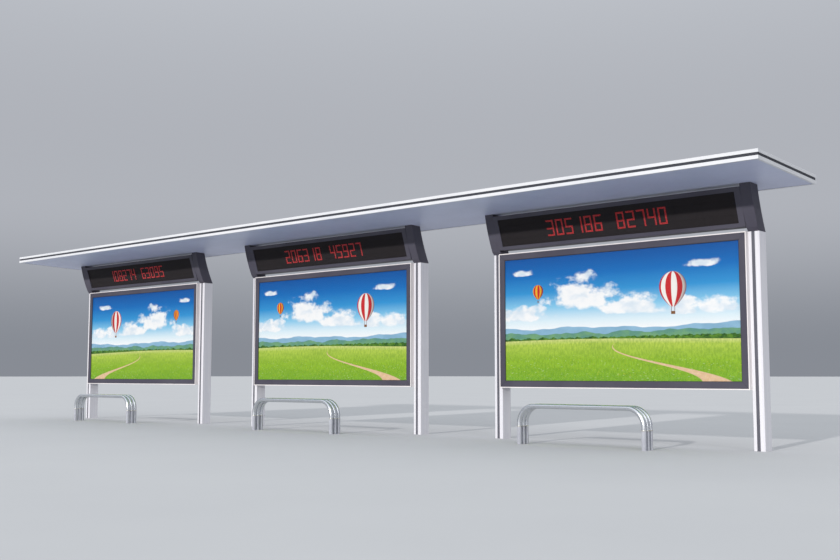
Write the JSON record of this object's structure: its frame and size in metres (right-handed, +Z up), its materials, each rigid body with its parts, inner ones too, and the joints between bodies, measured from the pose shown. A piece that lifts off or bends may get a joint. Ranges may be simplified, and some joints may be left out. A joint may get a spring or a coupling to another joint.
{
  "type": "bus shelter",
  "caption": "Long roadside bus shelter: thin canopy on curved brackets over posts, light boxes, leaning display cabinets and bent-tube benches.",
  "frame": {"origin": "on the paving, under the middle of the canopy in both directions", "axes": "+X along the shelter to the right-hand end as seen from the road, +Y to the back, away from the road, +Z up"},
  "size_m": [13.63, 1.4026, 2.8469],
  "materials": {
    "roof_sheet": "satin paint",
    "soffit_paint": "satin grey paint",
    "white_rail": "gloss white paint",
    "dark_strip": "matt dark strip",
    "post_metal": "satin silver-white paint",
    "charcoal_paint": "satin charcoal paint",
    "display_black": "dark tinted display panel",
    "silver_case": "satin anodised",
    "clear_glass": "clear toughened sheet",
    "picture_film": "printed backlit film",
    "bench_steel": "brushed stainless tube"
  },
  "bodies": {
    "root": {"roof_deck": "roof_sheet", "roof_soffit": "soffit_paint", "fascia_front": "white_rail", "fascia_back": "white_rail", "fascia_left": "white_rail", "fascia_right": "white_rail", "canopy_strip": "dark_strip", "post_strips": "dark_strip", "bay1_post_left": "post_metal", "bay1_bracket_left": "charcoal_paint", "bay1_post_right": "post_metal", "bay1_bracket_right": "charcoal_paint", "bay1_display_case": "charcoal_paint", "bay1_display_face": "display_black", "bay1_box_case": "silver_case", "bay1_box_door": "charcoal_paint", "bay1_box_glass": "clear_glass", "bay1_picture": "picture_film", "bay1_bench": "bench_steel", "bay2_post_left": "post_metal", "bay2_bracket_left": "charcoal_paint", "bay2_post_right": "post_metal", "bay2_bracket_right": "charcoal_paint", "bay2_display_case": "charcoal_paint", "bay2_display_face": "display_black", "bay2_box_case": "silver_case", "bay2_box_door": "charcoal_paint", "bay2_box_glass": "clear_glass", "bay2_picture": "picture_film", "bay2_bench": "bench_steel", "bay3_post_left": "post_metal", "bay3_bracket_left": "charcoal_paint", "bay3_post_right": "post_metal", "bay3_bracket_right": "charcoal_paint", "bay3_display_case": "charcoal_paint", "bay3_display_face": "display_black", "bay3_box_case": "silver_case", "bay3_box_door": "charcoal_paint", "bay3_box_glass": "clear_glass", "bay3_picture": "picture_film", "bay3_bench": "bench_steel"}
  },
  "joints": []
}
